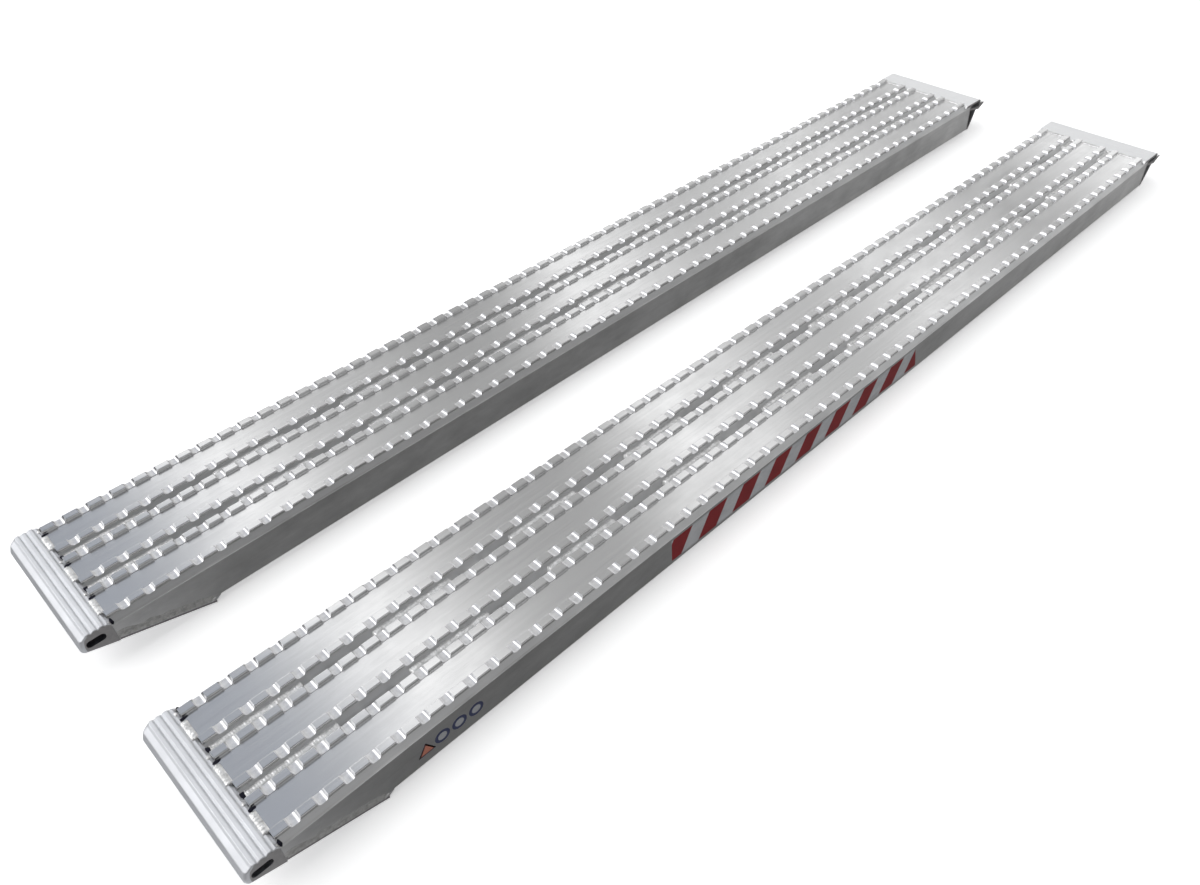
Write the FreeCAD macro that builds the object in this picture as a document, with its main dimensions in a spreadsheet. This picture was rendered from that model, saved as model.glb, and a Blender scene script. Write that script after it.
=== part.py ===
"""A pair of straight aluminium loading ramps, each welded up from three ribbed deck beams.

Each ramp is drawn in its own frame: X across, centred on the middle beam, Y from the foot end
of the deck (0) to the head, Z up from the deck's top face (0). The placements then set the two
ramps side by side, with the lowest edge of the heels at Z = 0 and the pair centred on X and Y.
"""
import FreeCAD, Part
import math
import os

import Sketcher
from FreeCAD import Placement, Rotation, Vector

SIZES = {
    "ramp_spacing": 577.0,       # middle of one ramp to the middle of the other
    "beam_width": 110.0,
    "beam_drop": 92.5,           # deck top down to the underside of the beams
    "deck_length": 2990.0,
    "deck_thick": 5.0,
    "web_thick": 4.0,
    "flange_reach": 18.0,
    "flange_thick": 6.0,
    "shoulder": 11.0,            # the slope beside each rib, as wide as it is deep
    "rib_width": 17.0,
    "rib_rise": 7.5,
    "notch_pitch": 50.0,
    "notch_first": 36.0,
    "notch_count": 59.0,
    "notch_mouth": 25.0,
    "notch_floor": 21.0,
    "notch_depth": 6.5,
    "ground_slope": 16.0,        # degrees; also the tilt of a ramp in use
    "nose_length": 67.0,
    "nose_chin": 35.0,           # height of the nose's front face
    "nose_overhang": 2.0,
    "nose_brow": 6.0,            # the step from the nose's top down to its blunt tip
    "tip_depth": 20.0,
    "tip_round": 9.0,
    "brow_round": 6.0,
    "chin_round": 5.0,
    "grip_start": 8.0,
    "grip_pitch": 13.5,
    "grip_rise": 3.5,
    "slot_setback": 18.0,
    "slot_depth": 15.0,
    "slot_length": 36.0,
    "slot_width": 16.0,
    "sole_thick": 6.0,
    "sole_reach": 185.0,         # foot end of the deck back to the tip of the heel
    "heel_overlap": 14.0,        # the heel bar's run past the sole, under the beams
    "lip_thick": 8.0,
    "lip_length": 88.0,
    "lip_round": 8.0,
    "beak_length": 122.0,
    "beak_drop": 22.0,
    "pad_length": 18.0,          # the flat under the lip that lies on the vehicle's bed
    "pad_setback": 14.0,
    "pad_depth": 31.0,
    "leg_back_top": 24.0,        # the leg's faces, measured on from the head end of the deck
    "leg_back_foot": 42.0,
    "leg_front_foot": 55.0,
    "leg_wall": 5.0,
    "cell_wall": 7.0,
    "cell_top": 22.0,
    "cell_low": 82.0,
    "tie_width": 60.0,
    "tie_thick": 6.0,
    "tie_inset": 15.0,
    "tie_first": 520.0,
    "tie_pitch": 650.0,
    "foot_prep": 6.0,            # the chamfers that the beads across the ends fill
    "foot_reach": 4.0,
    "foot_crown": 3.4,
    "foot_gap": 4.0,
    "head_prep": 5.0,
    "head_reach": 3.0,
    "head_crown": 2.4,
    "head_gap": 1.5,
    "stitch_start": 2.0,
    "stitch_half": 7.0,
    "stitch_crown": 1.6,
    "stitch_length": 180.0,
    "stitch_pitch": 325.0,
    "tie_leg": 5.0,
    "film_thick": 0.2,
    "marking_gap": 7.0,
    "marking_length": 895.0,
    "marking_height": 64.0,
    "marking_start": 876.0,
    "label_size": 32.0,
    "label_pitch": 37.0,
    "label_start": 267.0,
    "label_depth": 52.0,
}
BEAMS = {"inner": -1, "middle": 0, "outer": 1}
SIDES = {"right": 1, "left": -1}
TIES = 4
STITCHES = 9
GRIPS = 3
DISCS = 3

doc = FreeCAD.newDocument("loading_ramps")
sheet = doc.addObject("Spreadsheet::Sheet", "Sizes")
for row, (alias, number) in enumerate(SIZES.items(), start=1):
    sheet.set(f"A{row}", alias)
    sheet.set(f"B{row}", str(number))
    sheet.setAlias(f"B{row}", alias)
doc.recompute()

HALF = "Sizes.beam_width / 2"
RAMP_HALF = "Sizes.beam_width * 1.5"
SLOPE = "tan(Sizes.ground_slope * 1 deg)"
NOSE_HEEL = f"-(Sizes.nose_chin + {SLOPE} * Sizes.nose_length)"
HEEL_TIP = f"-(Sizes.nose_chin + {SLOPE} * (Sizes.nose_length + Sizes.sole_reach))"
SOLE_RISE = "Sizes.sole_thick / cos(Sizes.ground_slope * 1 deg)"
LIP_END = "(Sizes.deck_length + Sizes.lip_length)"
BEAK_TIP = "(Sizes.deck_length + Sizes.beak_length)"
PAD_BACK = f"({LIP_END} - Sizes.pad_setback)"
PAD_FRONT = f"({PAD_BACK} + Sizes.pad_length)"
PAD_LOW = f"-(Sizes.pad_depth + {SLOPE} * Sizes.pad_length)"
REAR_TOP = "(Sizes.deck_length + Sizes.leg_back_top)"
REAR_FOOT = "(Sizes.deck_length + Sizes.leg_back_foot)"
LEG_FOOT = "(Sizes.deck_length + Sizes.leg_front_foot)"


def value(formula):
    """The number that a formula over the sheet's cells gives."""
    number = sheet.evalExpression(formula)
    return float(getattr(number, "Value", number))


def add_body(name):
    body = doc.addObject("PartDesign::Body", name)
    body.Label = name
    return body


def plane(body, role):
    return next(part for part in body.Origin.OriginFeatures if part.Role == role)


def add_sketch(body, name, role):
    sketch = body.newObject("Sketcher::SketchObject", name)
    sketch.AttachmentSupport = [(plane(body, role), "")]
    sketch.MapMode = "FlatFace"
    return sketch


def fix_corner(sketch, line, across, up):
    """Ties the start of a line to its two formulas, measured from the sketch's origin."""
    for kind, formula in (("DistanceX", across), ("DistanceY", up)):
        constraint = Sketcher.Constraint(kind, -1, 1, line, 1, value(formula))
        number = sketch.addConstraint(constraint)
        sketch.setExpression(f"Constraints[{number}]", formula)


def outline(sketch, corners):
    """A closed outline through corners, each a pair of formulas over the sheet's cells."""
    points = [Vector(value(across), value(up), 0) for across, up in corners]
    first = sketch.GeometryCount
    for start, end in zip(points, points[1:] + points[:1]):
        sketch.addGeometry(Part.LineSegment(start, end), False)
    last = sketch.GeometryCount - 1
    for line in range(first, last + 1):
        following = first if line == last else line + 1
        sketch.addConstraint(Sketcher.Constraint("Coincident", line, 2, following, 1))
    for line, (across, up) in zip(range(first, last + 1), corners):
        fix_corner(sketch, line, across, up)


def pad(body, name, sketch, length, both_sides=False, reverse=False):
    feature = body.newObject("PartDesign::Pad", name)
    feature.Profile = sketch
    feature.setExpression("Length", length)
    if both_sides:
        feature.SideType = "Symmetric"
    feature.Reversed = reverse
    doc.recompute()
    return feature


def pocket(body, name, sketch):
    """Cuts a sketch right through, both ways, and makes sure that it took something away."""
    before = body.Shape.Volume
    feature = body.newObject("PartDesign::Pocket", name)
    feature.Profile = sketch
    feature.Type = "Length"
    feature.SideType = "Symmetric"
    feature.setExpression("Length", "Sizes.beam_width * 4")
    doc.recompute()
    if not feature.Shape.Volume < before:
        raise RuntimeError(f"{name} cut nothing")
    return feature


def round_edges(body, name, places, radius):
    """Fillets the edges that run along X through the given (y, z) places."""
    base = body.Tip
    names = []
    for number, edge in enumerate(base.Shape.Edges, start=1):
        box, centre = edge.BoundBox, edge.CenterOfMass
        if box.YLength > 0.01 or box.ZLength > 0.01:
            continue
        if any(math.hypot(centre.y - y, centre.z - z) < 0.05 for y, z in places):
            names.append(f"Edge{number}")
    feature = body.newObject("PartDesign::Fillet", name)
    feature.Base = (base, names)
    feature.setExpression("Radius", radius)
    doc.recompute()
    return feature


def section_corners():
    """The beam's cross-section: two ribs, sloped shoulders, webs, and flanges turned inward."""
    rib_out = f"({HALF} - Sizes.shoulder)"
    rib_in = f"({rib_out} - Sizes.rib_width)"
    web_in = f"({HALF} - Sizes.web_thick)"
    slant_in = f"({rib_out} - Sizes.web_thick)"
    slant_low = "-(Sizes.shoulder + Sizes.web_thick)"
    flange_in = f"({HALF} - Sizes.flange_reach)"
    flange_top = "-(Sizes.beam_drop - Sizes.flange_thick)"
    right = [
        (rib_in, "0"),
        (rib_in, "Sizes.rib_rise"),
        (rib_out, "Sizes.rib_rise"),
        (rib_out, "0"),
        (HALF, "-Sizes.shoulder"),
        (HALF, "-Sizes.beam_drop"),
        (flange_in, "-Sizes.beam_drop"),
        (flange_in, flange_top),
        (web_in, flange_top),
        (web_in, slant_low),
        (slant_in, "-Sizes.deck_thick"),
    ]
    left = [(f"-({across})", up) for across, up in reversed(right)]
    return right + left


def add_beam(name, across, placement):
    """One extruded deck beam, with both ends cut and the ribs notched."""
    body = add_body(name)
    section = add_sketch(body, "section", "XZ_Plane")
    outline(section, section_corners())
    pad(body, "extrusion", section, REAR_FOOT, reverse=True)

    ends = add_sketch(body, "end_cuts", "YZ_Plane")
    below = f"{HEEL_TIP} * 2"
    before = "-Sizes.nose_length"
    outline(ends, [
        (before, f"-Sizes.nose_chin + {SOLE_RISE}"),
        ("Sizes.sole_reach", f"{HEEL_TIP} + {SOLE_RISE}"),
        ("Sizes.sole_reach", below),
        (before, below),
    ])
    outline(ends, [
        ("Sizes.deck_length", "Sizes.rib_rise * 2"),
        ("Sizes.deck_length", "-Sizes.lip_thick"),
        (REAR_TOP, "-Sizes.lip_thick"),
        (REAR_FOOT, "-Sizes.beam_drop"),
        (BEAK_TIP, "-Sizes.beam_drop"),
        (BEAK_TIP, "Sizes.rib_rise * 2"),
    ])
    pocket(body, "cut_ends", ends)

    notch = add_sketch(body, "notch", "YZ_Plane")
    floor = "(Sizes.rib_rise - Sizes.notch_depth)"
    outline(notch, [
        ("Sizes.notch_first - Sizes.notch_mouth / 2", "Sizes.rib_rise"),
        ("Sizes.notch_first - Sizes.notch_floor / 2", floor),
        ("Sizes.notch_first + Sizes.notch_floor / 2", floor),
        ("Sizes.notch_first + Sizes.notch_mouth / 2", "Sizes.rib_rise"),
    ])
    first = pocket(body, "first_notch", notch)
    row = body.newObject("PartDesign::LinearPattern", "notches")
    row.Originals = [first]
    row.Direction = (plane(body, "Y_Axis"), [""])
    row.Mode = "Spacing"
    row.setExpression("Offset", "Sizes.notch_pitch")
    row.setExpression("Occurrences", "Sizes.notch_count")
    body.Tip = row
    doc.recompute()
    body.Placement = placement * Placement(Vector(across * SIZES["beam_width"], 0, 0), Rotation())
    return body


def nose_corners():
    """Side view of the nose: ridged top, blunt tip, underside on the ground slope."""
    grips = []
    for number in range(GRIPS):
        back = f"-(Sizes.grip_start + {number} * Sizes.grip_pitch)"
        middle = f"{back} - Sizes.grip_pitch / 2"
        grips.append((f"{back} - Sizes.grip_rise", "0"))
        grips.append((f"{middle} - Sizes.grip_rise / 3", "Sizes.grip_rise"))
        grips.append((f"{middle} - Sizes.grip_rise", "Sizes.grip_rise"))
    return [
        ("0", NOSE_HEEL),
        ("0", "-Sizes.foot_prep"),
        ("-Sizes.foot_prep", "0"),
        *grips,
        (f"-(Sizes.grip_start + {GRIPS} * Sizes.grip_pitch + Sizes.grip_rise)", "0"),
        ("-(Sizes.nose_length - Sizes.nose_brow)", "-Sizes.nose_brow"),
        ("-Sizes.nose_length", "-Sizes.tip_depth"),
        ("-Sizes.nose_length", "-Sizes.nose_chin"),
    ]


def add_nose(name, placement):
    body = add_body(name)
    side = add_sketch(body, "side", "YZ_Plane")
    outline(side, nose_corners())
    pad(body, "extrusion", side, f"2 * ({RAMP_HALF} + Sizes.nose_overhang)", both_sides=True)
    tip, brow = -SIZES["nose_length"], SIZES["nose_brow"]
    round_edges(body, "round_tip", [(tip, -SIZES["tip_depth"])], "Sizes.tip_round")
    round_edges(body, "round_brow", [(tip + brow, -brow)], "Sizes.brow_round")
    round_edges(body, "round_chin", [(tip, -SIZES["nose_chin"])], "Sizes.chin_round")

    slot_back = "-Sizes.slot_setback"
    slot_front = "-(Sizes.slot_setback + Sizes.slot_length)"
    slot_top = "-Sizes.slot_depth"
    slot_low = "-(Sizes.slot_depth + Sizes.slot_width)"
    hollow = add_sketch(body, "hollow", "YZ_Plane")
    outline(hollow, [
        (slot_back, slot_low),
        (slot_back, slot_top),
        (slot_front, slot_top),
        (slot_front, slot_low),
    ])
    pocket(body, "slot", hollow)
    corners = [(value(y), value(z)) for y in (slot_back, slot_front) for z in (slot_top, slot_low)]
    round_edges(body, "round_slot", corners, "Sizes.slot_width / 2 - 1")
    body.Placement = placement
    return body


def add_side_plate(name, corners, half_width, placement):
    """A plate or bar that runs across the ramp, drawn from the side."""
    body = add_body(name)
    side = add_sketch(body, "side", "YZ_Plane")
    outline(side, corners)
    pad(body, "plate", side, f"2 * ({half_width})", both_sides=True)
    body.Placement = placement
    return body


def sole_corners():
    return [
        ("0", NOSE_HEEL),
        ("0", f"{NOSE_HEEL} + {SOLE_RISE}"),
        ("Sizes.sole_reach", f"{HEEL_TIP} + {SOLE_RISE}"),
        ("Sizes.sole_reach", HEEL_TIP),
    ]


def heel_corners():
    """The wedge between the beams' underside and the back of the sole."""
    start = f"(Sizes.beam_drop + {SOLE_RISE} - Sizes.nose_chin) / ({SLOPE}) - Sizes.nose_length"
    return [
        (start, "-Sizes.beam_drop"),
        ("Sizes.sole_reach + Sizes.heel_overlap", "-Sizes.beam_drop"),
        ("Sizes.sole_reach", f"{HEEL_TIP} + {SOLE_RISE}"),
    ]


def lip_corners():
    """Side view of the head extrusion: a flat lip with a beak, on a hollow leg that tapers down."""
    return [
        ("Sizes.deck_length", "-Sizes.lip_thick"),
        ("Sizes.deck_length", "-Sizes.head_prep"),
        ("Sizes.deck_length + Sizes.head_prep", "0"),
        (f"{LIP_END} - 6", "0"),
        (f"{LIP_END} + 3", "-4"),
        (f"{LIP_END} + 7", "-2 * Sizes.cell_wall"),
        (BEAK_TIP, "-Sizes.beak_drop + 3"),
        (BEAK_TIP, "-Sizes.beak_drop"),
        (PAD_FRONT, PAD_LOW),
        (PAD_BACK, "-Sizes.pad_depth"),
        (LEG_FOOT, "-Sizes.beam_drop"),
        (REAR_FOOT, "-Sizes.beam_drop"),
        (REAR_TOP, "-Sizes.lip_thick"),
    ]


def leg_back(depth):
    """Formula for where the leg's slanted back face is at a depth below the deck."""
    slant = f"({REAR_FOOT} - {REAR_TOP}) / (Sizes.beam_drop - Sizes.lip_thick)"
    return f"({REAR_TOP} + ({depth} - Sizes.lip_thick) * {slant})"


def leg_front(depth):
    """The same for the leg's front face."""
    slant = f"({PAD_BACK} - {LEG_FOOT}) / (Sizes.beam_drop - Sizes.pad_depth)"
    return f"({PAD_BACK} - ({depth} - Sizes.pad_depth) * {slant})"


def add_lip(name, placement):
    """The head extrusion, with one chamber down the leg and one under the lip."""
    body = add_side_plate(name, lip_corners(), RAMP_HALF, placement)
    hollows = add_sketch(body, "hollows", "YZ_Plane")
    outline(hollows, [
        (f"{leg_back('Sizes.cell_top')} + Sizes.leg_wall", "-Sizes.cell_top"),
        (f"{PAD_BACK} - Sizes.leg_wall", "-Sizes.pad_depth"),
        (f"{leg_front('Sizes.cell_low')} - Sizes.leg_wall", "-Sizes.cell_low"),
        (f"{leg_back('Sizes.cell_low')} + Sizes.leg_wall", "-Sizes.cell_low"),
    ])
    cell_back = f"({REAR_TOP} + Sizes.cell_wall * 1.5)"
    cell_front = f"({LIP_END} + Sizes.cell_wall - Sizes.leg_wall)"
    outline(hollows, [
        (cell_back, "-Sizes.cell_wall"),
        (f"{LIP_END} - Sizes.cell_wall / 2", "-Sizes.cell_wall"),
        (cell_front, "-Sizes.cell_wall * 2"),
        (cell_front, "-(Sizes.pad_depth - Sizes.cell_wall)"),
        (PAD_BACK, "-(Sizes.pad_depth - Sizes.cell_wall)"),
        (cell_back, "-(Sizes.cell_top - Sizes.leg_wall)"),
    ])
    pocket(body, "chambers", hollows)
    round_edges(body, "round_lip", [(value(f"{LIP_END} - 6"), 0.0)], "Sizes.lip_round")
    return body


def add_ties(side, placement):
    for number in range(TIES):
        tie = doc.addObject("Part::Box", f"{side}_cross_tie_{number + 1}")
        tie.Label = tie.Name
        tie.setExpression("Length", f"2 * ({RAMP_HALF} - Sizes.tie_inset)")
        tie.setExpression("Width", "Sizes.tie_width")
        tie.setExpression("Height", "Sizes.tie_thick")
        corner = Vector(
            -value(f"{RAMP_HALF} - Sizes.tie_inset"),
            value(f"Sizes.tie_first + {number} * Sizes.tie_pitch - Sizes.tie_width / 2"),
            value("-Sizes.beam_drop - Sizes.tie_thick"),
        )
        tie.Placement = placement * Placement(corner, Rotation())


def prism(corners, start, length, along):
    """A straight bar from its section; along is X (section in Y, Z) or Y (section in X, Z)."""
    if along == "X":
        points = [Vector(start, first, up) for first, up in corners]
        travel = Vector(length, 0, 0)
    else:
        points = [Vector(first, start, up) for first, up in corners]
        travel = Vector(0, length, 0)
    face = Part.Face(Part.makePolygon(points + points[:1]))
    return face.extrude(travel)


def add_group(name, solids, placement):
    group = doc.addObject("Part::Feature", name)
    group.Label = name
    group.Shape = Part.Compound(solids)
    group.Placement = placement
    return group


def groove_stitches():
    """Stitch welds lying in the V between neighbouring beams."""
    half = SIZES["stitch_half"]
    low = -SIZES["shoulder"]
    high = low + half
    top = high + SIZES["stitch_crown"]
    first = SIZES["stitch_start"]
    starts = [first + number * SIZES["stitch_pitch"] for number in range(STITCHES)]
    beads = []
    for middle in (-SIZES["beam_width"] / 2, SIZES["beam_width"] / 2):
        section = [(middle - half, high), (middle, low), (middle + half, high)]
        section += [(middle + half / 2, top), (middle - half / 2, top)]
        beads += [prism(section, start, SIZES["stitch_length"], "Y") for start in starts]
        last = first + STITCHES * SIZES["stitch_pitch"]
        beads.append(prism(section, last, SIZES["deck_length"] - last - 2 * first, "Y"))
    return beads


def deck_beads(start, way, end):
    """Beads across the three decks that fill the chamfer at one end; way is 1 or -1 along Y."""
    prep, reach, crown = (SIZES[f"{end}_{name}"] for name in ("prep", "reach", "crown"))
    section = [
        (start + way * (prep + reach), 0.0),
        (start + way * prep, 0.0),
        (start, -prep),
        (start, 0.0),
        (start - way * reach * 0.75, 0.0),
        (start - way * reach * 0.3, crown * 0.7),
        (start + way * prep / 2, crown),
        (start + way * (prep + reach / 2), crown * 0.7),
    ]
    half = SIZES["beam_width"] / 2 - SIZES["shoulder"] - SIZES["rib_width"] - SIZES[f"{end}_gap"]
    centres = [across * SIZES["beam_width"] for across in BEAMS.values()]
    return [prism(section, centre - half, 2 * half, "X") for centre in centres]


def tie_beads():
    """Fillets along both edges of each cross tie, where it crosses the flanges."""
    leg = SIZES["tie_leg"]
    under = -SIZES["beam_drop"]
    reach, inset = SIZES["flange_reach"], SIZES["tie_inset"]
    half = SIZES["beam_width"] / 2
    spans = [(middle * half - reach, 2 * reach) for middle in (-1, 1)]
    spans += [(inset - 3 * half, reach - inset), (3 * half - reach, reach - inset)]
    beads = []
    for number in range(TIES):
        centre = SIZES["tie_first"] + number * SIZES["tie_pitch"]
        for way in (-1, 1):
            edge = centre + way * SIZES["tie_width"] / 2
            section = [(edge, under), (edge + way * leg, under), (edge, under - leg)]
            beads += [prism(section, start, width, "X") for start, width in spans]
    return beads


def add_marking(placement):
    """The striped film along the outer web."""
    film = doc.addObject("Part::Box", "right_hazard_marking")
    film.Label = film.Name
    film.setExpression("Length", "Sizes.film_thick")
    film.setExpression("Width", "Sizes.marking_length")
    film.setExpression("Height", "Sizes.marking_height")
    corner = Vector(
        value(RAMP_HALF),
        SIZES["marking_start"],
        -SIZES["shoulder"] - SIZES["marking_gap"] - SIZES["marking_height"],
    )
    film.Placement = placement * Placement(corner, Rotation())


def add_labels(placement):
    """Four blank films: a triangle and three discs."""
    size = SIZES["label_size"]
    middle = -SIZES["label_depth"]
    face = value(RAMP_HALF)
    base = SIZES["label_start"]
    height = size * math.sin(math.radians(60))
    corners = [(base - size / 2, middle - height / 2), (base + size / 2, middle - height / 2)]
    corners.append((base, middle + height / 2))
    solids = [prism(corners, face, SIZES["film_thick"], "X")]
    for number in range(1, DISCS + 1):
        centre = Vector(face, base + number * SIZES["label_pitch"], middle)
        disc = Part.makeCylinder(size / 2, SIZES["film_thick"], centre, Vector(1, 0, 0))
        solids.append(disc)
    add_group("right_blank_labels", solids, placement)


def check_document():
    for item in doc.Objects:
        if "Invalid" in item.State or "Error" in item.State:
            raise RuntimeError(f"{item.Name} is in state {item.State}")


def write_parts():
    os.makedirs("parts", exist_ok=True)
    for item in doc.Objects:
        is_body = item.isDerivedFrom("PartDesign::Body")
        is_loose = item.isDerivedFrom("Part::Feature") and item.getParentGeoFeatureGroup() is None
        if not (is_body or is_loose):
            continue
        shape = item.Shape
        if shape.isNull() or not shape.isValid():
            raise RuntimeError(f"{item.Label} has a bad shape")
        shape.exportStep(f"parts/{item.Label}.step")
        print(item.Label, len(shape.Solids), round(shape.Volume))


middle_y = value(f"({BEAK_TIP} - Sizes.nose_length) / 2")
for side, hand in SIDES.items():
    corner = Vector(hand * value("Sizes.ramp_spacing / 2"), -middle_y, -value(HEEL_TIP))
    place = Placement(corner, Rotation())
    for beam, step in BEAMS.items():
        add_beam(f"{side}_{beam}_beam", hand * step, place)
    add_nose(f"{side}_foot_nose", place)
    add_side_plate(f"{side}_sole_plate", sole_corners(), RAMP_HALF, place)
    add_side_plate(f"{side}_heel_bar", heel_corners(), RAMP_HALF, place)
    add_lip(f"{side}_head_lip", place)
    add_ties(side, place)
    add_group(f"{side}_groove_welds", groove_stitches(), place)
    add_group(f"{side}_foot_welds", deck_beads(0.0, -1, "foot"), place)
    add_group(f"{side}_head_welds", deck_beads(SIZES["deck_length"], 1, "head"), place)
    add_group(f"{side}_tie_welds", tie_beads(), place)
    if side == "right":
        add_marking(place)
        add_labels(place)
doc.recompute()
check_document()
write_parts()
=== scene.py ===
"""A pair of welded aluminium loading ramps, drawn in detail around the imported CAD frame.

Each ramp has its own drawing frame, in millimetres: X across from the middle of its middle beam,
Y from the foot end of the deck to the head, Z up from the deck's top face. Every piece keeps that
frame as its object's own, so the materials can use object coordinates all over a ramp.
"""

import math
from collections import namedtuple

import bmesh
import bpy
from mathutils import Matrix, Vector, noise


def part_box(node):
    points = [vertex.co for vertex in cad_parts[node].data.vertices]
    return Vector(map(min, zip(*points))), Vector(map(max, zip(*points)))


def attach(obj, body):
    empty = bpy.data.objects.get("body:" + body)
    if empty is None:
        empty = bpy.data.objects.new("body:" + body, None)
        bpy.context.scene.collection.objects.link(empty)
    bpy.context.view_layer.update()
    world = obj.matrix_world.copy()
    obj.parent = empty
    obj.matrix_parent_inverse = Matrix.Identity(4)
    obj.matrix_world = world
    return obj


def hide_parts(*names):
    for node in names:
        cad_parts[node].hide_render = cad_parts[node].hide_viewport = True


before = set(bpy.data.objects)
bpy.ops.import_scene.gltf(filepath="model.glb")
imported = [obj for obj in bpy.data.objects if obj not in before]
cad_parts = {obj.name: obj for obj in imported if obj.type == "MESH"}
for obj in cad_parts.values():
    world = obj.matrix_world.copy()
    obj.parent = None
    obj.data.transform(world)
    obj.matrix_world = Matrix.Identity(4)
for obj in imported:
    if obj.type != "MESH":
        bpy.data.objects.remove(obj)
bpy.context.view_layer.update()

MM = 0.001
SIDES = {"right": 1, "left": -1}
BEAMS = {"inner": -1, "middle": 0, "outer": 1}

# Sizes of the beams' section, in millimetres
RIB_RISE = 7.5
RIB_WIDTH = 17.0
SHOULDER = 11.0
DECK_THICK = 5.0
WEB_THICK = 4.0
FLANGE_REACH = 18.0
FLANGE_THICK = 6.0
LIP_THICK = 8.0

# The notches: deepest in the middle, with steep walls, and flared and bowed at their sides
NOTCH_FIRST = 36.0
NOTCH_PITCH = 50.0
NOTCH_COUNT = 59
NOTCH_FOOT_REACH = 12.0
NOTCH_HEAD_REACH = 13.0
NOTCH_FOOT_POWER = 4.6
NOTCH_HEAD_POWER = 4.2
NOTCH_DEPTH = 6.6
NOTCH_FLARE = 2.6
NOTCH_BULGE = 0.2

# Foot, head and welds
TIES = 4
STITCHES = 9
NOSE_CORNER = 9.0
SOLE_THICK = 6.0
SLOPE = math.radians(16.0)


def cad_span(node):
    """A node's lowest and highest corner in its ramp's own frame, in millimetres."""
    low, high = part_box(node)
    origin = ramp_origin(node.split("_")[0])
    return (low - origin) / MM, (high - origin) / MM


def ramp_origin(side):
    """The zero of a ramp's own frame, in metres."""
    low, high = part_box(f"{side}_middle_beam")
    return Vector(((low.x + high.x) / 2, low.y, high.z - RIB_RISE * MM))


BEAM_LOW, BEAM_HIGH = cad_span("right_middle_beam")
BEAM_HALF = BEAM_HIGH.x
BEAM_DROP = -BEAM_LOW.z
RAMP_HALF = 3 * BEAM_HALF
DECK_LENGTH = cad_span("right_head_lip")[0].y
BEAK_TIP = cad_span("right_head_lip")[1].y
NOSE_LOW, NOSE_HIGH = cad_span("right_foot_nose")
NOSE_TIP = NOSE_LOW.y
NOSE_HALF = NOSE_HIGH.x
SOLE_HIGH = cad_span("right_sole_plate")[1]
SOLE_RISE = SOLE_THICK / math.cos(SLOPE)
SOLE_START = SOLE_HIGH.z

# The head extrusion's tapering leg, which the beams' webs are cut to meet
LEG_BACK_TOP = DECK_LENGTH + 24.0
LEG_BACK_FOOT = BEAM_HIGH.y
LEG_FRONT_FOOT = DECK_LENGTH + 55.0


# ---- mesh helpers

def rounded(corners, steps=3):
    """A closed outline through (across, up, radius) corners, with an arc wherever there is a radius."""
    outline = []
    for index, (across, up, radius) in enumerate(corners):
        here = Vector((across, up))
        back = (Vector(corners[index - 1][:2]) - here).normalized()
        onward = (Vector(corners[(index + 1) % len(corners)][:2]) - here).normalized()
        if radius == 0:
            outline.append(here)
            continue
        half = back.angle(onward) / 2
        centre = here + (back + onward).normalized() * radius / math.sin(half)
        first = here + back * radius / math.tan(half) - centre
        last = here + onward * radius / math.tan(half) - centre
        turn = -first.angle_signed(last)
        for step in range(steps + 1):
            outline.append(centre + Matrix.Rotation(turn * step / steps, 2) @ first)
    return outline


def inset(outline, depth):
    """The outline moved inward by a depth, for rounding an end."""
    area = sum(a.x * b.y - b.x * a.y for a, b in zip(outline, outline[1:] + outline[:1]))
    way = 1 if area > 0 else -1
    moved = []
    for index, here in enumerate(outline):
        along = outline[(index + 1) % len(outline)] - outline[index - 1]
        side = Vector((-along.y, along.x)).normalized() * way
        moved.append(here + side * depth)
    return moved


class Shape:
    """Points in a ramp's frame, and faces with the number of their material."""

    def __init__(self):
        self.points = []
        self.faces = []
        self.zones = []

    def add_point(self, x, y, z):
        self.points.append((x, y, z))
        return len(self.points) - 1

    def add_face(self, corners, zone=0):
        self.faces.append(tuple(corners))
        self.zones.append(zone)

    def join(self, near, far, zone):
        """A band of faces between two closed loops of point numbers."""
        for index in range(len(near)):
            follow = (index + 1) % len(near)
            self.add_face((near[index], near[follow], far[follow], far[index]), zone)

    def add_rings(self, rings, zone=0, capped=True, end_zone=None):
        """Joins rings of points into a tube, with its two ends closed."""
        numbers = [[self.add_point(*point) for point in ring] for ring in rings]
        for near, far in zip(numbers, numbers[1:]):
            self.join(near, far, zone)
        if capped:
            end = zone if end_zone is None else end_zone
            self.add_face(numbers[0][::-1], end)
            self.add_face(numbers[-1], end)
        return numbers


def new_object(name, data):
    thing = bpy.data.objects.new(name, data)
    bpy.context.scene.collection.objects.link(thing)
    return thing


def build(node, form, shape, materials, sharp=32.0):
    """Makes a shape into a piece that stands for a CAD node and rides on that node's ramp."""
    name = f"{node}_{form}"
    side = node.split("_")[0]
    mesh = bpy.data.meshes.new(name)
    points = [Vector(point) * MM for point in shape.points]
    mesh.from_pydata(points, [], shape.faces)
    mesh.polygons.foreach_set("material_index", shape.zones)
    for material in materials:
        mesh.materials.append(material)
    tidy = bmesh.new()
    tidy.from_mesh(mesh)
    bmesh.ops.recalc_face_normals(tidy, faces=tidy.faces)
    if tidy.calc_volume(signed=True) < 0:
        bmesh.ops.reverse_faces(tidy, faces=tidy.faces)
    tidy.to_mesh(mesh)
    tidy.free()
    mesh.shade_smooth()
    mesh.set_sharp_from_angle(angle=math.radians(sharp))
    piece = new_object(name, mesh)
    piece.location = ramp_origin(side)
    weighted = piece.modifiers.new("weighted_normals", "WEIGHTED_NORMAL")
    weighted.keep_sharp = True
    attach(piece, f"{side}_ramp")
    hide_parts(node)


# ---- materials

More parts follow.
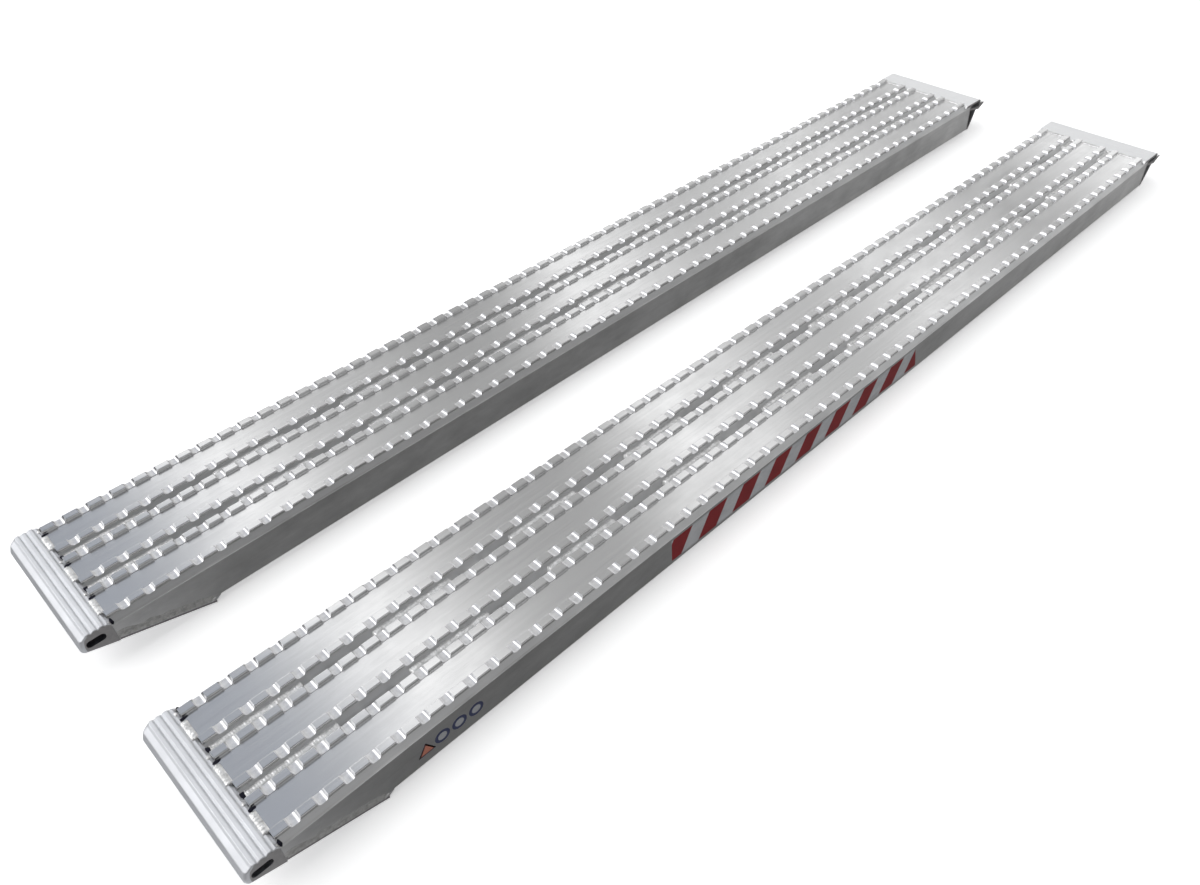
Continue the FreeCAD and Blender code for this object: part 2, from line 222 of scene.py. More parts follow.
def new_material(name, colour, metallic, roughness):
    """A material with its node tree and its shader."""
    material = bpy.data.materials.new(name)
    material.use_nodes = True
    tree = material.node_tree
    shader = tree.nodes["Principled BSDF"]
    shader.inputs["Base Color"].default_value = (*colour, 1.0)
    shader.inputs["Metallic"].default_value = metallic
    shader.inputs["Roughness"].default_value = roughness
    return material, tree, shader


def object_noise(tree, stretch, detail=3.0, roughness=0.5):
    """Noise over object coordinates in metres; stretch is how many features fit in a metre, per axis."""
    coordinates = tree.nodes.new("ShaderNodeTexCoord")
    mapping = tree.nodes.new("ShaderNodeMapping")
    mapping.inputs["Scale"].default_value = stretch
    tree.links.new(coordinates.outputs["Object"], mapping.inputs["Vector"])
    texture = tree.nodes.new("ShaderNodeTexNoise")
    texture.inputs["Scale"].default_value = 1.0
    texture.inputs["Detail"].default_value = detail
    texture.inputs["Roughness"].default_value = roughness
    tree.links.new(mapping.outputs["Vector"], texture.inputs["Vector"])
    return texture.outputs["Fac"]


def remap(tree, source, low, high, to_low, to_high):
    """A value stretched from one range to another, and held at its ends."""
    node = tree.nodes.new("ShaderNodeMapRange")
    node.inputs["From Min"].default_value = low
    node.inputs["From Max"].default_value = high
    node.inputs["To Min"].default_value = to_low
    node.inputs["To Max"].default_value = to_high
    tree.links.new(source, node.inputs["Value"])
    return node.outputs["Result"]


def feed(tree, socket, source):
    """Gives a socket its source, which is another socket or a fixed value."""
    if isinstance(source, bpy.types.NodeSocket):
        tree.links.new(source, socket)
    else:
        socket.default_value = source


def math_node(tree, operation, first, second):
    """A calculation with two values; each is a socket or a number."""
    node = tree.nodes.new("ShaderNodeMath")
    node.operation = operation
    for socket, source in zip(node.inputs, (first, second)):
        feed(tree, socket, source)
    return node.outputs["Value"]


def blend(tree, factor, first, second, method="MIX"):
    """Mixes two colours; each is a socket or a fixed red, green and blue."""
    node = tree.nodes.new("ShaderNodeMix")
    node.data_type = "RGBA"
    node.blend_type = method
    feed(tree, node.inputs["Factor"], factor)
    for name, source in (("A", first), ("B", second)):
        feed(tree, node.inputs[name], (*source, 1.0) if isinstance(source, tuple) else source)
    return node.outputs["Result"]


def shade(tree, colour, factor):
    """A colour made lighter or darker by a factor near 1."""
    grey = tree.nodes.new("ShaderNodeCombineColor")
    for channel in ("Red", "Green", "Blue"):
        tree.links.new(factor, grey.inputs[channel])
    return blend(tree, 1.0, colour, grey.outputs["Color"], "MULTIPLY")


def dress(tree, shader, colour, light, rough, height, strength, depth):
    """Gives a material its uneven colour and roughness, and a relief of a depth in metres."""
    tree.links.new(shade(tree, colour, light), shader.inputs["Base Color"])
    tree.links.new(rough, shader.inputs["Roughness"])
    bump = tree.nodes.new("ShaderNodeBump")
    bump.inputs["Strength"].default_value = strength
    bump.inputs["Distance"].default_value = depth
    tree.links.new(height, bump.inputs["Height"])
    tree.links.new(bump.outputs["Normal"], shader.inputs["Normal"])


def drawn_out(along, fine, long):
    """Noise scales for marks that are long on one axis and fine on the other two."""
    return (fine, long, fine) if along == "Y" else (long, fine, fine)


def brushed_metal(name, colour, roughness, along="Y", grain=0.03, blotch=0.05, stretched=0.7):
    """Extruded or rolled aluminium: fine drawing lines along one axis, dull blotches and faint scratches."""
    material, tree, shader = new_material(name, colour, 1.0, roughness)
    shader.inputs["Anisotropic"].default_value = stretched
    tangent = tree.nodes.new("ShaderNodeTangent")
    tangent.direction_type = "RADIAL"
    tangent.axis = along
    tree.links.new(tangent.outputs["Tangent"], shader.inputs["Tangent"])
    lines = object_noise(tree, drawn_out(along, 1500.0, 5.0), detail=4.0, roughness=0.65)
    streaks = object_noise(tree, drawn_out(along, 125.0, 2.5), detail=3.0)
    stains = object_noise(tree, (14.0, 7.0, 14.0), detail=5.0, roughness=0.6)
    scuffs = object_noise(tree, drawn_out(along, 380.0, 16.0), detail=2.0, roughness=0.6)
    scuffs = remap(tree, scuffs, 0.66, 0.74, 0.0, 1.0)
    light = remap(tree, lines, 0.3, 0.7, 1.0 - grain, 1.0 + grain)
    light = math_node(tree, "MULTIPLY", light, remap(tree, streaks, 0.3, 0.7, 1.0 - grain, 1.0 + grain))
    light = math_node(tree, "MULTIPLY", light, remap(tree, stains, 0.3, 0.7, 1.0 - blotch, 1.0 + blotch))
    light = math_node(tree, "SUBTRACT", light, math_node(tree, "MULTIPLY", scuffs, 0.05))
    rough = remap(tree, stains, 0.3, 0.7, roughness + 0.04, roughness - 0.03)
    rough = math_node(tree, "ADD", rough, remap(tree, lines, 0.3, 0.7, -0.015, 0.015))
    rough = math_node(tree, "ADD", rough, math_node(tree, "MULTIPLY", scuffs, 0.02))
    height = math_node(tree, "ADD", lines, math_node(tree, "MULTIPLY", streaks, 0.2))
    dress(tree, shader, colour, light, rough, height, 0.05, 0.00003)
    return material


def plain_metal(name, colour, roughness):
    """Dull metal with a grey bloom, for sawn ends, and dark for painted shade and painted shadow."""
    material, tree, shader = new_material(name, colour, 1.0, roughness)
    bloom = object_noise(tree, (90.0, 90.0, 90.0), detail=5.0, roughness=0.6)
    light = remap(tree, bloom, 0.3, 0.7, 0.8, 1.15)
    rough = remap(tree, bloom, 0.3, 0.7, roughness - 0.08, roughness + 0.1)
    dress(tree, shader, colour, light, rough, bloom, 0.1, 0.0002)
    return material


def pressed_metal(name, colour, roughness):
    """Metal smeared bright by a press tool, with a fine orange-peel."""
    material, tree, shader = new_material(name, colour, 1.0, roughness)
    grain = object_noise(tree, (900.0, 900.0, 900.0), detail=3.0)
    patches = object_noise(tree, (120.0, 90.0, 120.0), detail=2.0)
    light = remap(tree, patches, 0.3, 0.7, 0.90, 1.08)
    rough = remap(tree, grain, 0.3, 0.7, roughness - 0.05, roughness + 0.07)
    dress(tree, shader, colour, light, rough, grain, 0.3, 0.0002)
    return material


def weld_metal(name, colour, roughness):
    """Bright, slightly sooty bead metal, rough between its ripples."""
    material, tree, shader = new_material(name, colour, 0.85, roughness)
    soot = object_noise(tree, (160.0, 120.0, 160.0), detail=4.0, roughness=0.6)
    frost = object_noise(tree, (1400.0, 1400.0, 1400.0), detail=2.0)
    light = remap(tree, soot, 0.35, 0.75, 1.08, 0.62)
    light = math_node(tree, "MULTIPLY", light, remap(tree, frost, 0.3, 0.7, 0.93, 1.06))
    rough = remap(tree, soot, 0.35, 0.7, roughness - 0.08, roughness + 0.16)
    height = math_node(tree, "ADD", soot, math_node(tree, "MULTIPLY", frost, 0.3))
    dress(tree, shader, colour, light, rough, height, 0.4, 0.0005)
    return material


def striped_film(name, red, silver, pitch, share, lean, start):
    """Retroreflective film: slanted red and silver stripes over a fine honeycomb.

    The stripes repeat every pitch millimetres, and red takes its share of that.
    """
    material, tree, shader = new_material(name, red, 0.0, 0.34)
    coordinates = tree.nodes.new("ShaderNodeTexCoord")
    axes = tree.nodes.new("ShaderNodeSeparateXYZ")
    tree.links.new(coordinates.outputs["Object"], axes.inputs["Vector"])
    slant = math_node(tree, "MULTIPLY", axes.outputs["Z"], lean)
    place = math_node(tree, "SUBTRACT", axes.outputs["Y"], slant)
    place = math_node(tree, "SUBTRACT", place, start * MM)
    place = math_node(tree, "DIVIDE", place, pitch * MM)
    phase = math_node(tree, "FRACT", place, 0.0)
    stripes = blend(tree, math_node(tree, "GREATER_THAN", phase, share), red, silver)
    cells = tree.nodes.new("ShaderNodeTexVoronoi")
    cells.feature = "DISTANCE_TO_EDGE"
    cells.inputs["Scale"].default_value = 420.0
    cells.inputs["Randomness"].default_value = 0.15
    tree.links.new(coordinates.outputs["Object"], cells.inputs["Vector"])
    walls = remap(tree, cells.outputs["Distance"], 0.02, 0.10, 0.86, 1.0)
    grime = object_noise(tree, (30.0, 22.0, 45.0), detail=5.0, roughness=0.65)
    grime = remap(tree, grime, 0.35, 0.75, 1.05, 0.78)
    light = math_node(tree, "MULTIPLY", walls, grime)
    rough = remap(tree, walls, 0.86, 1.0, 0.5, 0.3)
    dress(tree, shader, stripes, light, rough, walls, 0.15, 0.0001)
    return material


def plain_film(name, colour):
    """A printed vinyl film in one colour, a little worn and dusty."""
    roughness = 0.38
    material, tree, shader = new_material(name, colour, 0.0, roughness)
    dust = object_noise(tree, (420.0, 420.0, 420.0), detail=4.0, roughness=0.65)
    light = remap(tree, dust, 0.35, 0.7, 1.06, 0.84)
    rough = remap(tree, dust, 0.35, 0.7, roughness - 0.06, roughness + 0.14)
    dress(tree, shader, colour, light, rough, dust, 0.12, 0.0002)
    return material


DECK_METAL = brushed_metal("deck_metal", (0.83, 0.832, 0.835), 0.22)
NOTCH_METAL = pressed_metal("notch_metal", (0.80, 0.80, 0.81), 0.31)
# The shoulders, webs and rib flanks are the same extrusion as the deck, painted darker step by step as they
# turn from the light: painted shade
SHADED_SHOULDER_METAL = brushed_metal("shaded_shoulder_metal", (0.76, 0.765, 0.77), 0.36, blotch=0.08)
SHADED_WEB_METAL = brushed_metal("shaded_web_metal", (0.735, 0.735, 0.735), 0.36, blotch=0.20)
SHADED_FLANK_METAL = brushed_metal("shaded_flank_metal", (0.62, 0.615, 0.61), 0.42, blotch=0.12)
CROSSWISE = {"along": "X", "grain": 0.015, "stretched": 0.85}
NOSE_METAL = brushed_metal("nose_metal", (0.69, 0.70, 0.725), 0.42, blotch=0.04, **CROSSWISE)
LIP_METAL = brushed_metal("lip_metal", (0.86, 0.865, 0.87), 0.44, blotch=0.03, **CROSSWISE)
CUT_METAL = plain_metal("cut_metal", (0.42, 0.41, 0.41), 0.5)
PLATE_METAL = brushed_metal("plate_metal", (0.66, 0.66, 0.67), 0.48, along="X", blotch=0.12)
# The sole plate's sawn edges, darkened as painted shade along the bottom of the webs
SHADED_EDGE_METAL = plain_metal("shaded_edge_metal", (0.30, 0.29, 0.29), 0.5)
BEAD_METAL = weld_metal("bead_metal", (0.84, 0.84, 0.835), 0.42)
FILLET_METAL = weld_metal("fillet_metal", (0.58, 0.575, 0.565), 0.50)
# Near-black metal, painted shadow in the holes and corners where the foot beads stop
PAINTED_SHADOW = plain_metal("painted_weld_shadow", (0.035, 0.035, 0.05), 0.75)
MARKING_FILM = striped_film("marking_film", red=(0.30, 0.02, 0.025), silver=(0.62, 0.63, 0.65),
                            pitch=108.0, share=0.52, lean=0.42, start=891.0)
LABEL_EDGE = plain_film("label_edge", (0.07, 0.04, 0.06))
LABEL_RED = plain_film("label_red", (0.58, 0.22, 0.15))
LABEL_BLUE = plain_film("label_blue", (0.05, 0.06, 0.13))
LABEL_FACE = plain_film("label_face", (0.44, 0.45, 0.47))


# ---- deck beams

RIB_OUT = BEAM_HALF - SHOULDER
RIB_IN = RIB_OUT - RIB_WIDTH
WEB_IN = BEAM_HALF - WEB_THICK
DECK_ZONE, NOTCH_ZONE, SHOULDER_ZONE, WEB_ZONE, FLANK_ZONE = range(5)
BEAM_METALS = [DECK_METAL, NOTCH_METAL, SHADED_SHOULDER_METAL, SHADED_WEB_METAL, SHADED_FLANK_METAL]


def rib_profile():
    """The right-hand rib from its inner root over the top to its outer root, at full height."""
    over = rounded([
        (RIB_IN - 8.0, 0.0, 0),
        (RIB_IN, 0.0, 1.6),
        (RIB_IN, RIB_RISE, 2.2),
        (RIB_OUT, RIB_RISE, 2.2),
        (RIB_OUT, 0.0, 0),
    ])
    return [(point.x, point.y) for point in over[1:]]


def lower_profile():
    """The rest of the right-hand half: shoulder, web, flange, and back up inside to under the deck."""
    steepness = SHOULDER / (SHOULDER + WEB_THICK - DECK_THICK)
    ledge_in = RIB_OUT - WEB_THICK + (LIP_THICK - DECK_THICK) * steepness
    corners = [
        (RIB_OUT + LIP_THICK, -LIP_THICK, 0),
        (BEAM_HALF, -SHOULDER, 2.4),
        (BEAM_HALF, -BEAM_DROP, 2.0),
        (BEAM_HALF - FLANGE_REACH, -BEAM_DROP, 1.5),
        (BEAM_HALF - FLANGE_REACH, FLANGE_THICK - BEAM_DROP, 1.5),
        (WEB_IN, FLANGE_THICK - BEAM_DROP, 2.0),
        (WEB_IN, -SHOULDER - WEB_THICK, 2.0),
        (ledge_in, -LIP_THICK, 0),
    ]
    line = [(point.x, point.y) for point in rounded(corners, steps=2)]
    return line + [(RIB_OUT - WEB_THICK, -DECK_THICK)]


def pressed(offset):
    """How deep the press tool has gone, from 0 on a lug to 1 on a notch's floor."""
    if offset < 0:
        return 1.0 - (-offset / NOTCH_FOOT_REACH) ** NOTCH_FOOT_POWER
    return 1.0 - (offset / NOTCH_HEAD_REACH) ** NOTCH_HEAD_POWER


# A place along a beam. Where it is whole, the full section has points; elsewhere only the ribs have.
Station = namedtuple("Station", "centre offset depth whole")


def beam_stations():
    """The places along a beam that have points, from foot to head."""
    shares = (0.0, 0.28, 0.45, 0.58, 0.69, 0.78, 0.86, 0.93, 1.0)
    offsets = [-share * NOTCH_FOOT_REACH for share in shares[:0:-1]]
    offsets += [share * NOTCH_HEAD_REACH for share in shares]
    stations = [Station(0.0, 0.0, 0.0, True), Station(NOTCH_FIRST - NOTCH_PITCH / 2, 0.0, 0.0, True)]
    for number in range(NOTCH_COUNT):
        centre = NOTCH_FIRST + number * NOTCH_PITCH
        stations += [Station(centre, offset, pressed(offset), False) for offset in offsets]
        stations.append(Station(centre + NOTCH_PITCH / 2, 0.0, 0.0, True))
    stations.append(Station(DECK_LENGTH, 0.0, 0.0, True))
    return stations


def pressed_point(x, z, station):
    """Where a point of a rib ends up, as (x, y, z): pressed down, spread sideways and bowed."""
    middle = math.copysign((RIB_IN + RIB_OUT) / 2, x)
    side = (x - middle) / (RIB_WIDTH / 2)
    flare = NOTCH_FLARE * station.depth * z / RIB_RISE * side
    along = station.centre + station.offset * (1 - NOTCH_BULGE * min(1.0, abs(side)) ** 2)
    return x + flare, along, z * (1 - station.depth * NOTCH_DEPTH / RIB_RISE)


class Beam(Shape):
    """One beam, with its notches pressed into the ribs and its head end cut round the lip.

    The section runs from the right rib round the underside to the left rib, and closes over the deck.
    """

    def __init__(self, across):
        super().__init__()
        rib, lower = rib_profile(), lower_profile()
        self.across = across
        self.section = rib + lower
        self.section += [(-x, z) for x, z in reversed(self.section)]
        self.size = len(self.section)
        self.rib_size = len(rib)
        self.stations = beam_stations()
        self.wholes = [place for place, station in enumerate(self.stations) if station.whole]
        self.numbers = {}
        self.add_points()
        self.add_skin()
        self.add_ends()

    def on_rib(self, index):
        return index < self.rib_size or index >= self.size - self.rib_size

    def add_points(self):
        """Numbers each point by its station and its place in the section."""
        for place, station in enumerate(self.stations):
            for index, (x, z) in enumerate(self.section):
                if self.on_rib(index):
                    x, y, z = pressed_point(x, z, station)
                elif station.whole:
                    y = station.centre
                else:
                    continue
                self.numbers[place, index] = self.add_point(self.across + x, y, z)

    def add_skin(self):
        """Lengthwise strips, one for each side of the section."""
        rib = self.rib_size
        # Shoulders, rib flanks and webs take the darker metals that paint in their shade
        zones = {self.size - 1: DECK_ZONE, rib - 1: SHOULDER_ZONE, self.size - rib - 1: SHOULDER_ZONE,
                 rib - 2: FLANK_ZONE, self.size - rib: FLANK_ZONE}
        for index in range(self.size):
            follow = (index + 1) % self.size
            if follow and self.on_rib(index) and self.on_rib(follow):
                self.add_rib_strip(index, follow, zones.get(index, DECK_ZONE))
            else:
                self.add_plain_strip(index, follow, zones.get(index, WEB_ZONE))

    def add_rib_strip(self, index, follow, raised):
        """A strip of a rib, with a face at every station and the notch's own metal where it is pressed."""
        for place in range(len(self.stations) - 1):
            sunk = max(self.stations[place].depth, self.stations[place + 1].depth) > 0.0
            zone = NOTCH_ZONE if sunk else raised
            corners = ((place, index), (place, follow), (place + 1, follow), (place + 1, index))
            self.add_face([self.numbers[corner] for corner in corners], zone)

    def add_plain_strip(self, index, follow, zone):
        """A strip with one long face from one whole station to the next."""
        for near, far in zip(self.wholes, self.wholes[1:]):
            between = range(near, far + 1)
            left = [self.numbers[place, index] for place in between if (place, index) in self.numbers]
            right = [self.numbers[place, follow] for place in between if (place, follow) in self.numbers]
            self.add_face(left + right[::-1], zone)

    def add_ends(self):
        """Closes the foot end flat, and the head end flat above the lip, with a slanted tail on each web."""
        first, last, size = self.wholes[0], self.wholes[-1], self.size
        self.add_face([self.numbers[first, index] for index in range(size)], WEB_ZONE)
        outer = self.rib_size
        inner = size // 2 - 2  # where the ledge under the shoulder starts, on the inside
        upper = [*range(outer + 1), *range(inner, size - inner), *range(size - 1 - outer, size)]
        self.add_face([self.numbers[last, index] for index in upper], WEB_ZONE)
        self.add_tail(last, range(outer, inner + 1))
        self.add_tail(last, range(size - 1 - inner, size - outer))

    def add_tail(self, last, portion):
        """Part of the section run on past the deck's end, to the slanted leg of the head extrusion."""
        slant = (LEG_BACK_FOOT - LEG_BACK_TOP) / (BEAM_DROP - LIP_THICK)
        tail = []
        for index in portion:
            x, z = self.section[index]
            tail.append(self.add_point(self.across + x, LEG_BACK_TOP - (z + LIP_THICK) * slant, z))
        self.join([self.numbers[last, index] for index in portion], tail, WEB_ZONE)
        self.add_face(tail, WEB_ZONE)


def cut_foot(shape):
    """Cuts a beam's foot along the top of the sole plate and closes the cut."""
    work = bmesh.new()
    points = [work.verts.new(point) for point in shape.points]
    for corners, zone in zip(shape.faces, shape.zones):
        work.faces.new([points[corner] for corner in corners]).material_index = zone
    bmesh.ops.recalc_face_normals(work, faces=work.faces)
    everything = [*work.verts, *work.edges, *work.faces]
    bmesh.ops.bisect_plane(work, geom=everything, plane_co=(0, 0, SOLE_START),
                           plane_no=(0, math.sin(SLOPE), math.cos(SLOPE)), clear_inner=True)
    rim = [edge for edge in work.edges if edge.is_boundary]
    bmesh.ops.edgeloop_fill(work, edges=rim, mat_nr=WEB_ZONE)
    return from_work(work)


def add_beams(side, hand):
    """The three beams; hand is 1 where the outer beam is on the right."""
    for beam, step in BEAMS.items():
        shape = cut_foot(Beam(hand * step * 2 * BEAM_HALF))
        build(f"{side}_{beam}_beam", "extrusion", shape, BEAM_METALS)


# ---- foot and head

CUT_ZONE = 1


def across_rings(outline, half, bevel):
    """Rings of an outline of (y, z) points across the ramp, drawn in a little at both ends."""
    small = inset(outline, bevel)
    eased = bevel * 0.3
    middle = inset(outline, eased)
    stops = [(-half, small), (-half + eased, middle), (-half + bevel, outline),
             (half - bevel, outline), (half - eased, middle), (half, small)]
    return [[(x, point.x, point.y) for point in ring] for x, ring in stops]


def nose_outline():
    """Side view of the nose, with its three grip ridges."""
    pitch, rise, start = 13.5, 3.5, 8.0
    heel = NOSE_LOW.z
    grips = []
    for number in range(3):
        back = -(start + number * pitch)
        grips += [(back - 2.6, 0.0, 1.6), (back - 5.4, rise, 2.2), (back - pitch + 1.6, rise, 2.4)]
    corners = [
        (0.0, heel, 0),
        (0.0, -6.0, 0),
        (-6.0, 0.0, 1.0),
        *grips,
        (-(start + 3 * pitch + 2.2), 0.0, 2.0),
        (NOSE_TIP + 6.0, -6.0, 6.0),
        (NOSE_TIP, -20.0, 9.0),
        (NOSE_TIP, -35.0, 5.0),
    ]
    return rounded(corners, steps=4)


def slot_outline():
    """The slot that runs through the nose."""
    back, front, top, foot, turn = -17.0, -54.0, -13.0, -29.0, 7.0
    return rounded([(back, foot, turn), (back, top, turn), (front, top, turn), (front, foot, turn)], steps=6)


def close_ends(shape, ends):
    """Fills flat end faces that have holes in them; each end is a list of loops of point numbers."""
    work = bmesh.new()
    points = [work.verts.new(point) for point in shape.points]
    for corners in shape.faces:
        work.faces.new([points[number] for number in corners])
    for loops in ends:
        rim = []
        for loop in loops:
            for one, other in zip(loop, loop[1:] + loop[:1]):
                rim.append(work.edges.get((points[one], points[other])))
        filled = bmesh.ops.triangle_fill(work, edges=rim, use_beauty=True)
        for part in filled["geom"]:
            if isinstance(part, bmesh.types.BMFace):
                part.material_index = CUT_ZONE
    return from_work(work)


def from_work(work):
    """Turns a mesh being edited back into a shape."""
    work.verts.index_update()
    shape = Shape()
    shape.points = [tuple(vertex.co) for vertex in work.verts]
    shape.faces = [tuple(vertex.index for vertex in face.verts) for face in work.faces]
    shape.zones = [face.material_index for face in work.faces]
    work.free()
    return shape


def hollow_extrusion(rings, hollows):
    """A tube of rings across the ramp, with hollows of constant outline running right through it."""
    shape = Shape()
    skin = shape.add_rings(rings, capped=False)
    first, last = [skin[0]], [skin[-1]]
    for hollow in hollows:
        walls = [[(ring[0][0], point.x, point.y) for point in hollow] for ring in (rings[0], rings[-1])]
        numbers = shape.add_rings(walls, capped=False)
        first.append(numbers[0])
        last.append(numbers[-1])
    return close_ends(shape, (first, last))


def add_nose(side):
    """The nose extrusion, with a slot right through it and its tip's corners ground round."""
    outline = nose_outline()
    eased, ground_from = 1.2, -38.0
    rings = []
    for gap in (0.0, 0.4, 1.2, 2.5, 4.5, 7.0, NOSE_CORNER):
        drawn = inset(outline, eased * max(0.0, 1 - gap / eased) ** 2)
        pull = NOSE_CORNER - math.sqrt(NOSE_CORNER ** 2 - (NOSE_CORNER - gap) ** 2)
        ring = []
        for point in drawn:
            share = min(1.0, max(0.0, (point.x - ground_from) / (NOSE_TIP - ground_from)))
            ring.append((gap - NOSE_HALF, point.x + pull * share, point.y))
        rings.append(ring)
    rings += [[(-x, y, z) for x, y, z in ring] for ring in reversed(rings)]
    shape = hollow_extrusion(rings, [slot_outline()])
    build(f"{side}_foot_nose", "extrusion", shape, [NOSE_METAL, CUT_METAL])


def past_deck(corners, steps=3):
    """A rounded outline whose corners count Y from the head end of the deck."""
    return rounded([(DECK_LENGTH + y, z, radius) for y, z, radius in corners], steps)


def add_lip(side):
    """The head extrusion: lip and beak on a hollow, tapering leg."""
    pad_back, pad_front, pad_depth = 74.0, 92.0, 31.0
    pad_low = pad_depth + math.tan(SLOPE) * (pad_front - pad_back)
    beak = BEAK_TIP - DECK_LENGTH
    outline = past_deck([
        (0.0, -LIP_THICK, 0),
        (0.0, -5.0, 0),
        (5.0, 0.0, 1.0),
        (82.0, 0.0, 7.0),
        (91.0, -4.0, 2.5),
        (95.0, -14.0, 4.0),
        (beak, -19.0, 1.2),
        (beak, -22.0, 1.2),
        (pad_front, -pad_low, 2.0),
        (pad_back, -pad_depth, 2.0),
        (LEG_FRONT_FOOT - DECK_LENGTH, -BEAM_DROP, 2.5),
        (LEG_BACK_FOOT - DECK_LENGTH, -BEAM_DROP, 2.0),
        (LEG_BACK_TOP - DECK_LENGTH, -LIP_THICK, 0),
    ], steps=4)
    leg_hollow = past_deck([(32.0, -22.0, 1.5), (69.0, -31.0, 2.5), (53.2, -82.0, 1.2), (44.8, -82.0, 1.2)])
    lip_hollow = past_deck([
        (34.5, -7.0, 2.0), (84.5, -7.0, 3.0), (90.0, -14.0, 2.0),
        (90.0, -24.0, 2.0), (74.0, -24.0, 3.0), (34.5, -17.0, 2.0),
    ])
    shape = hollow_extrusion(across_rings(outline, RAMP_HALF, 0.7), [leg_hollow, lip_hollow])
    build(f"{side}_head_lip", "extrusion", shape, [LIP_METAL, CUT_METAL])


def add_foot_plates(side):
    """The sole plate and the heel bar, with their edges eased."""
    drop = math.tan(SLOPE) * SOLE_HIGH.y
    heel = SOLE_START - SOLE_RISE
    sole = rounded([
        (0.0, heel, 0.8), (0.0, SOLE_START, 0.8),
        (SOLE_HIGH.y, SOLE_START - drop, 1.5), (SOLE_HIGH.y, heel - drop, 0.3),
    ])
    shape = Shape()
    # The plate's sawn edges get the darkened metal: painted shade
    shape.add_rings(across_rings(sole, RAMP_HALF, 0.8), end_zone=CUT_ZONE)
    build(f"{side}_sole_plate", "rolled", shape, [PLATE_METAL, SHADED_EDGE_METAL])
    bar_low, bar_high = cad_span(f"{side}_heel_bar")
    bar = rounded([
        (bar_low.y, -BEAM_DROP, 0.6), (bar_high.y, -BEAM_DROP, 1.0), (SOLE_HIGH.y, bar_low.z, 0.6),
    ])
    shape = Shape()
    shape.add_rings(across_rings(bar, RAMP_HALF, 0.6))
    build(f"{side}_heel_bar", "wedge", shape, [PLATE_METAL])


def add_ties(side):
    """Flat bars across the underside, with rolled edges."""
    for number in range(1, TIES + 1):
        node = f"{side}_cross_tie_{number}"
        low, high = cad_span(node)
        outline = rounded([
            (low.y, low.z, 1.2), (low.y, high.z, 0.6), (high.y, high.z, 0.6), (high.y, low.z, 1.2),
        ])
        shape = Shape()
        shape.add_rings(across_rings(outline, high.x, 0.8))
        build(node, "bar", shape, [PLATE_METAL])


# ---- welds

FILLET_ZONE, PAINTED_SHADOW_ZONE = 1, 2
BEAD_METALS = [BEAD_METAL, FILLET_METAL, PAINTED_SHADOW]
BEAD_SHARP = 60.0


def wander(seed, place, scale, size):
    """A smooth random number within about size, for the unevenness of hand work."""
    return size * noise.noise(Vector((place / scale, seed * 7.3, 2.1)))


def fullness(gap, least):
    """How thick a bead is near its round end; gap is the distance to the end in radii of that round."""
    return math.sqrt(max(least, 1 - max(0.0, 1 - gap) ** 2))


def add_stitch(shape, middle, start, length, seed):
    """One bead in the V between two beams: rippled like laid coins, with a crater where it stops."""
    half, crown, ripple, rise, fall = 7.6, 2.0, 5.0, 6.0, 4.0
    across = (-1.0, -0.8, -0.45, 0.0, 0.45, 0.8, 1.0)
    count = round(length / 1.45)
    rings = []
    for step in range(count + 1):
        run = length * step / count
        taper = fullness(min(run / rise, (length - run) / fall), 0.0)
        width = half * max(0.12, taper) * (0.93 + wander(seed, run, 16.0, 0.12))
        crater = 1.5 * math.exp(-((length - run - 5.5) / 2.6) ** 2)
        ring = []
        for share in across:
            phase = ((run - 1.6 * share * share + wander(seed + 0.5, run, 22.0, 2.0)) / ripple) % 1.0
            grit = wander(seed + share, run, 3.0, 0.9)
            bulge = (1 - share * share) * (crown * taper + 1.1 * (phase - 0.55) + grit - crater)
            ring.append((middle + share * width, start + run, width - SHOULDER + bulge))
        ring.append((middle, start + run, -SHOULDER))
        rings.append(ring)
    shape.add_rings(rings)


def add_groove_beads(side):
    """Stitch welds along the two joints between the beams."""
    shape = Shape()
    low, high = cad_span(f"{side}_groove_welds")
    pitch, length = 325.0, 180.0
    for way in (-1, 1):
        for number in range(STITCHES + 1):
            start = low.y + number * pitch
            run = min(length, high.y - start)
            add_stitch(shape, way * BEAM_HALF, start, run, number * 2.0 + way + 0.4)
    build(f"{side}_groove_welds", "beads", shape, BEAD_METALS, BEAD_SHARP)


def add_cross_bead(shape, section, left, right, seed, lump):
    """A bead across the ramp; section is floor and crown points (y, z), of which the crown grows in lumps."""
    floor, crown = section
    count = round((right - left) / 1.3)
    rings = []
    for step in range(count + 1):
        run = (right - left) * step / count
        taper = fullness(min(run, right - left - run) / 3.5, 0.02)
        drop = abs(math.sin(math.pi * (run + wander(seed, run, 9.0, 3.0)) / 6.5))
        swell = taper * (1 - lump + lump * (0.35 + 0.9 * drop)) + wander(seed + 3.1, run, 4.0, 0.25 * lump)
        ring = [(left + run, y, z) for y, z in floor]
        for y, z in crown:
            shift = wander(seed + 1.7, run, 6.0, 1.2 * lump)
            ring.append((left + run, y + shift, max(0.05, z * swell)))
        rings.append(ring)
    shape.add_rings(rings)


def crown_points(start, end, height):
    """A low dome from start to end along Y, without its two feet."""
    turns = [math.pi * step / 6 for step in range(1, 6)]
    middle, half = (start + end) / 2, (end - start) / 2
    return [(middle - half * math.cos(turn), height * math.sin(turn) ** 0.8) for turn in turns]


